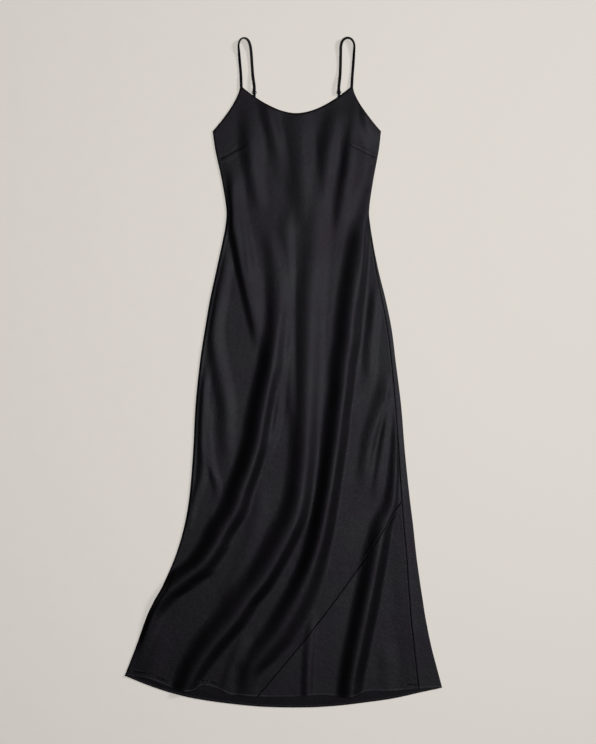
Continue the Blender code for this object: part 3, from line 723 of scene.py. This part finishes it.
def build_front():
    """The front panel, from its neckline and armholes to its hem and the gore seam."""
    share = panel_shares(LEFT_PEAK_X, RIGHT_PEAK_X, (24, 3, 100, 3, 24), RIM_SHARES)
    start = float(along(SECTIONS, "left", UNDERARM_Y))
    end = float(along(SECTIONS, "right", UNDERARM_Y))
    across = start + (end - start) * share
    top = top_edge(across, LEFT_PEAK_X, RIGHT_PEAK_X, NECK_LOW_Y, PEAK_Y, UNDERARM_Y)

    def right_of(at):
        return front_right(np.minimum(at, UNDERARM_Y))

    xs = []
    ys = []
    for k in range(YOKE_ROWS):
        y = top + (YOKE_Y - top) * k / YOKE_ROWS
        xs.append(left_of(y) * (1 - share) + right_of(y) * share)
        ys.append(y)
    x, y = hem_rows(share, spread((YOKE_Y, SKIRT_END_Y), (SKIRT_ROWS,)), FRONT_HEM, left_of, right_of)
    x = np.concatenate([np.array(xs), x])
    y = np.concatenate([np.array(ys), y])
    z = front_level(x, y) + hem_relief(y - along(FRONT_HEM, "y", x), x)
    edge = [
        top_edge(x + step, LEFT_PEAK_X, RIGHT_PEAK_X, NECK_LOW_Y, PEAK_Y, UNDERARM_Y)
        for step in (-1, 0, 1)
    ]
    inside = (edge[1] - y) / np.sqrt(1 + (0.5 * (edge[2] - edge[0])) ** 2)
    z -= np.minimum(z - LOWEST, 0.7 * bump(np.maximum(inside, 0), 1.8))
    x, y, z = rolled(x, y, z, {"top": 1.0, "bottom": 1.0, "left": 0.8, "right": 1.0})
    return sheet_mesh("front_satin", x, y, np.maximum(z, CORNER_FLOOR), front_cloth)


def build_gore():
    """The triangular piece between the gore seam, the side seam and the hem."""
    rims = np.array(RIM_SHARES) * 2
    share = np.unique(np.concatenate([np.linspace(0, 1, 110), rims, 1 - rims]))
    x, y = hem_rows(
        share, spread((GORE_TOP_Y - 3, SKIRT_END_Y), (190,)), FRONT_HEM,
        lambda at: gore_x(at) + 0.5 * GAP,
        lambda at: along(SECTIONS, "seam", at) - 0.5 * GAP,
    )
    z = front_level(x, y) + hem_relief(y - along(FRONT_HEM, "y", x), x)
    x, y, z = rolled(x, y, z, {"bottom": 1.0, "left": 1.0, "right": 1.0})
    return sheet_mesh("gore_satin", x, y, z, gore_cloth)


def back_edge_path(y):
    """The back's right edge: offsets across and up, round its turn and on to the side seam."""
    over = ramp(y, 312, 262)
    angle = np.maximum(math.pi * over, 1e-3)
    room = along(SECTIONS, "right", y) - along(SECTIONS, "seam", y)
    flange = np.maximum(0.6, (room - TURN - 0.65) * over)
    radius = math.pi * TURN / angle
    path = []
    for bend in (angle * k / 9 for k in range(10)):
        path.append((radius * np.sin(bend), radius * (1 - np.cos(bend))))
    end_x, end_up = path[-1]
    for share in (0.05, 0.12, 0.2, 0.3, 0.4, 0.5, 0.6, 0.7, 0.8, 0.88, 0.94, 0.98, 1.0):
        reach = flange * share
        path.append((end_x + reach * np.cos(angle), end_up + reach * np.sin(angle)))
    outermost = np.max([across for across, up in path], axis=0) + 0.5 * over
    return [(across - outermost, up) for across, up in path]


def side_y(at):
    """A height along the side edges, which end at the underarm."""
    return np.minimum(at, UNDERARM_Y)


def build_back():
    """The back panel, laid on the floor, with its right edge turned over on to the front."""
    share = panel_shares(
        BACK_LEFT_PEAK_X, BACK_RIGHT_PEAK_X, (14, 2, 30, 2, 14), (0.002, 0.006)
    )
    start = float(along(SECTIONS, "left", UNDERARM_Y))
    end = float(along(SECTIONS, "right", UNDERARM_Y))
    across = start + (end - start) * share
    top = top_edge(
        across, BACK_LEFT_PEAK_X, BACK_RIGHT_PEAK_X, BACK_NECK_LOW_Y, BACK_PEAK_Y,
        BACK_UNDERARM_Y,
    )
    lines = [top + (460 - top) * k / 20 for k in range(20)]
    lines += [np.full_like(share, y) for y in spread((460, -670), (330,))]
    lines += [lines[-1]] * len(HEM_CLEARS)
    line = np.array(lines)
    clear = np.full((len(lines), 1), HEM_START)
    clear[-len(HEM_CLEARS):, 0] = HEM_CLEARS
    base = line[:, -1:]
    pull = ramp(base, -540, -670)
    at = line.copy()
    for _ in range(6):
        right = along(SECTIONS, "right", side_y(at)) + back_edge_path(side_y(at))[0][0]
        x = left_of(at) * (1 - share) + right * share
        at = line + (along(BACK_HEM, "y", x) + clear - line) * pull
    xs = [x]
    ys = [at]
    below = at - along(BACK_HEM, "y", x)
    tilt = 0.6 * ramp(below, 0, 24) * ramp(at, -600, -640)
    zs = [0.5 * WALL + tilt + hem_relief(below, x)]
    for k in range(1, 23):
        at = base
        for _ in range(4):
            across, up = back_edge_path(side_y(at))[k]
            right = along(SECTIONS, "right", side_y(at))
            x = right + across
            hem = np.where(
                up > TURN, along(FRONT_HEM, "y", x), along(BACK_HEM, "y", x)
            )
            at = base + (hem + clear - base) * pull
        seam = along(SECTIONS, "seam", at)
        share_over = np.clip((right - TURN - x) / np.maximum(right - TURN - seam, 1), 0, 1)
        upper = up > TURN
        lift = fold_height(seam, at) * share_over * share_over * (3 - 2 * share_over)
        lift = lift + seam_relief(np.abs(x - seam), at) * ramp(at, 330, 290)
        lift = lift + hem_relief(at - along(FRONT_HEM, "y", x), x)
        xs.append(x)
        ys.append(at)
        zs.append(0.5 * WALL + up + np.where(upper, lift, 0))
    x, y, z = rolled(
        np.hstack(xs), np.hstack(ys), np.hstack(zs), {"top": 0.4, "bottom": 0.4}
    )
    made = sheet_mesh("back_satin", x, y, np.maximum(z, 0.02), back_cloth)
    made.data.materials.append(back_inside)
    faces_across = x.shape[1] - 1
    column = np.arange(len(made.data.polygons)) % faces_across
    inner = (column < len(share) + 2).astype(np.int32)
    made.data.polygons.foreach_set("material_index", inner)
    return made


def band_mesh(name, points, sides, ups, width, thick, material):
    """A folded band along a path, its two edges meeting in a seam on its underside."""
    turns = np.linspace(-0.5, 1.5, 17) * math.pi
    flat = np.sign(np.cos(turns)) * np.abs(np.cos(turns)) ** 0.55
    deep = np.sign(np.sin(turns)) * np.abs(np.sin(turns)) ** 0.8
    flat[0], flat[-1] = 0.02, -0.02
    places = (
        points[:, None]
        + sides[:, None] * (0.5 * width * flat)[None, :, None]
        + ups[:, None] * (0.5 * thick * deep)[None, :, None]
    )
    return sheet_mesh(name, *np.moveaxis(places, -1, 0), material)


def framed(points, sides):
    """Unit sides and ups square to a path."""
    points = np.array(points, float)
    ahead = np.gradient(points, axis=0)
    ahead /= np.linalg.norm(ahead, axis=1)[:, None]
    sides = np.array(sides, float)
    sides -= ahead * (sides * ahead).sum(axis=1)[:, None]
    sides /= np.linalg.norm(sides, axis=1)[:, None]
    return points, sides, np.cross(sides, ahead)


def strap_path(rows, ring_x):
    """The band's middle line and its side direction, over the loop and round the ring."""
    steps = 16
    points = []
    sides = []
    count = len(rows) - 1
    for i in range(count):
        before = rows[max(i - 1, 0)]
        after = rows[min(i + 2, count)]
        for k in range(steps):
            t = k / steps
            values = []
            rates = []
            for name in Lay._fields:
                here = getattr(rows[i], name)
                there = getattr(rows[i + 1], name)
                leaving = 0.5 * (there - getattr(before, name))
                arriving = 0.5 * (getattr(after, name) - here)
                values.append(
                    (1 + 2 * t) * (1 - t) ** 2 * here + t * (1 - t) ** 2 * leaving
                    + t * t * (3 - 2 * t) * there + t * t * (t - 1) * arriving
                )
                rates.append(
                    6 * t * (t - 1) * here + (1 - t) * (1 - 3 * t) * leaving
                    + 6 * t * (1 - t) * there + t * (3 * t - 2) * arriving
                )
            x, y, twist = values
            turn = math.radians(twist)
            share = (i + t) / count
            rest = 0.5 * STRAP_WIDTH * math.sin(turn) + 0.5 * WALL * math.cos(turn)
            at_peak = (REST - 0.5 * WALL) * (1 - float(ramp(share, 0.0, 0.12)))
            at_ring = 2 * WRAP * float(ramp(share, 0.78, 0.93))
            points.append((x, y, rest + at_peak + at_ring))
            run = math.hypot(rates[0], rates[1])
            across = (rates[1] / run, -rates[0] / run)
            sides.append((
                across[0] * math.cos(turn), across[1] * math.cos(turn), math.sin(turn)
            ))
    bar_y = RING_Y + RING_HALF_HEIGHT
    final = (math.copysign(1.0, sides[-1][0]), 0.0, 0.0)
    for k in range(25):
        turn = math.pi * k / 24
        points.append((
            ring_x, bar_y - WRAP * math.sin(turn), RING_Z + WRAP * math.cos(turn)
        ))
        sides.append(final)
    for k in range(1, 5):
        points.append((ring_x, bar_y + STRAP_END * k / 4, 0.5 * WALL))
        sides.append(final)
    return framed(points, sides)


def tab_path(ring_x):
    """The short band from the back neckline up to the ring, round its lower bar and over."""
    bar_y = RING_Y - RING_HALF_HEIGHT
    points = [(ring_x, y, 0.5 * WALL) for y in spread((BACK_PEAK_Y - 3, bar_y), (12,))]
    for k in range(1, 25):
        turn = math.pi * k / 24
        points.append((
            ring_x, bar_y + WRAP * math.sin(turn), RING_Z - WRAP * math.cos(turn)
        ))
    points.append((ring_x, bar_y - TAB_END, RING_Z + WRAP))
    return framed(points, [(1.0, 0.0, 0.0)] * len(points))


def build_ring(name, x, material):
    """A small wire loop with straight bars above and below."""
    path = []
    for quarter, (side_x, side_y) in enumerate(((1, 1), (-1, 1), (-1, -1), (1, -1))):
        for k in range(9):
            turn = 0.5 * math.pi * (quarter + k / 8)
            path.append((
                x + side_x * (RING_HALF_WIDTH - RING_CORNER) + RING_CORNER * math.cos(turn),
                RING_Y + side_y * (RING_HALF_HEIGHT - RING_CORNER)
                + RING_CORNER * math.sin(turn),
                RING_Z,
            ))
    curve = bpy.data.curves.new(name, "CURVE")
    curve.dimensions = "3D"
    curve.bevel_depth = RING_WIRE * MM
    curve.bevel_resolution = 5
    loop = curve.splines.new("POLY")
    loop.points.add(len(path) - 1)
    for point, place in zip(loop.points, path):
        point.co = (*(MM * value for value in place), 1.0)
    loop.use_cyclic_u = True
    loop.use_smooth = True
    curve.materials.append(material)
    made = bpy.data.objects.new(name, curve)
    bpy.context.scene.collection.objects.link(made)
    return made


def enamel(name):
    """Black enamel over wire, a little uneven."""
    made = bpy.data.materials.new(name)
    made.use_nodes = True
    tree, add = node_maker(made)
    shader = tree.nodes["Principled BSDF"]
    shader.inputs["Base Color"].default_value = (0.006, 0.006, 0.007, 1.0)
    shader.inputs["Specular IOR Level"].default_value = 0.2
    place = add("ShaderNodeTexCoord")
    patchy = add(
        "ShaderNodeTexNoise",
        {"Vector": place.outputs["Object"], "Scale": 900.0, "Detail": 2.0},
    )
    gloss = add(
        "ShaderNodeMapRange",
        {"Value": patchy.outputs["Fac"], "To Min": 0.45, "To Max": 0.65},
    )
    tree.links.new(gloss.outputs["Result"], shader.inputs["Roughness"])
    return made


def placed(piece, node):
    """Stands the piece in for its node of the frame."""
    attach(piece, "root")
    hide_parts(node)
    return piece


front = placed(build_front(), "front_panel")
gore = placed(build_gore(), "front_gore")
back = placed(build_back(), "back_panel")
enamel_black = enamel("ring_enamel")
for side, ring_x in RINGS.items():
    strap = "strap_" + side
    path = strap_path(STRAPS[strap], ring_x)
    made = band_mesh(strap + "_satin", *path, STRAP_WIDTH, STRAP_THICK, strap_cloth)
    placed(made, strap)
    tab = "tab_" + side
    path = tab_path(ring_x)
    made = band_mesh(tab + "_satin", *path, STRAP_WIDTH, STRAP_THICK, strap_cloth)
    placed(made, tab)
    placed(build_ring("ring_" + side + "_wire", ring_x, enamel_black), "ring_" + side)


def paper():
    """A smooth, warm, pale board, darker towards +x by painted shade that evens out the lamps'
    brighter light on that side.
    """
    made = bpy.data.materials.new("floor_board")
    made.use_nodes = True
    tree, add = node_maker(made)
    shader = tree.nodes["Principled BSDF"]
    shader.inputs["Roughness"].default_value = 0.85
    shader.inputs["Specular IOR Level"].default_value = 0.1
    place = add("ShaderNodeTexCoord")
    mottle = add(
        "ShaderNodeTexNoise",
        {"Vector": place.outputs["Object"], "Scale": 30.0, "Detail": 5.0},
    )
    colour = add("ShaderNodeMix", {"Factor": mottle.outputs["Fac"]}, data_type="RGBA")
    colour.inputs[6].default_value = (0.820, 0.777, 0.728, 1)
    colour.inputs[7].default_value = (0.852, 0.809, 0.760, 1)
    # Painted shade: the board's colour darkens towards +x, where the lamps fall brighter.
    spot = add("ShaderNodeSeparateXYZ", {"Vector": place.outputs["Object"]})
    across = add(
        "ShaderNodeMapRange",
        {"Value": spot.outputs["X"], "From Min": -0.7, "From Max": 0.7},
    )
    shade_painted_right = add("ShaderNodeMix", {"Factor": across.outputs["Result"]}, data_type="RGBA")
    tree.links.new(colour.outputs[2], shade_painted_right.inputs[6])
    shade_painted_right.inputs[7].default_value = (0.712, 0.678, 0.636, 1)
    tree.links.new(shade_painted_right.outputs[2], shader.inputs["Base Color"])
    return made


# The floor lies a little below the back panel, level with the lowest of the straps.
FLOOR_REACH = 6.0
FLOOR_DROP = 0.0003
floor_mesh = bpy.data.meshes.new("floor")
floor_mesh.from_pydata(
    [(x * FLOOR_REACH, y * FLOOR_REACH, 0) for x, y in ((-1, -1), (1, -1), (1, 1), (-1, 1))],
    [], [(0, 1, 2, 3)],
)
floor_mesh.materials.append(paper())
floor = bpy.data.objects.new("floor", floor_mesh)
floor.location = (0, 0, -FLOOR_DROP)
bpy.context.scene.collection.objects.link(floor)


Lamp = namedtuple("Lamp", "name place aim width length power colour")
LAMPS = (
    Lamp("overhead_soft", (0.7, 0.2, 4.4), (0.7, 0.2, 0.0), 2.2, 2.2, 73.0, (1.0, 0.995, 0.985)),
    Lamp("overhead_strip", (1.45, 0.2, 4.3), (1.45, 0.2, 0.0), 0.6, 1.5, 89.0, (1.0, 0.995, 0.985)),
    Lamp("low_side", (8.4, 3.4, 2.7), (0.0, 0.0, 0.0), 1.6, 1.0, 560.0, (1.0, 0.985, 0.96)),
)


def area_light(row):
    """A rectangular studio light, turned to what it aims at."""
    lamp = bpy.data.lights.new(row.name, "AREA")
    lamp.shape = "RECTANGLE"
    lamp.size = row.width
    lamp.size_y = row.length
    lamp.energy = row.power
    lamp.color = row.colour
    made = bpy.data.objects.new(row.name, lamp)
    bpy.context.scene.collection.objects.link(made)
    made.location = row.place
    away = Vector(row.aim) - Vector(row.place)
    made.rotation_euler = away.to_track_quat("-Z", "Y").to_euler()


for lamp_row in LAMPS:
    area_light(lamp_row)

world = bpy.data.worlds.new("room")
bpy.context.scene.world = world
world.use_nodes = True
background = world.node_tree.nodes["Background"]
background.inputs["Color"].default_value = (0.9, 0.93, 1.0, 1)
background.inputs["Strength"].default_value = 0.003

# The camera looks straight down at the middle of the laid length, a little to its right.
LONG_SIDE_SPAN = 1.610
MIDDLE_X = 0.0314
MIDDLE_Y = 0.0003
lens = bpy.data.cameras.new("overhead")
lens.lens = 85
lens.sensor_width = 36
camera = bpy.data.objects.new("overhead", lens)
bpy.context.scene.collection.objects.link(camera)
camera.location = (MIDDLE_X, MIDDLE_Y, lens.lens / lens.sensor_width * LONG_SIDE_SPAN)
bpy.context.scene.camera = camera
bpy.context.scene.view_settings.view_transform = "Standard"
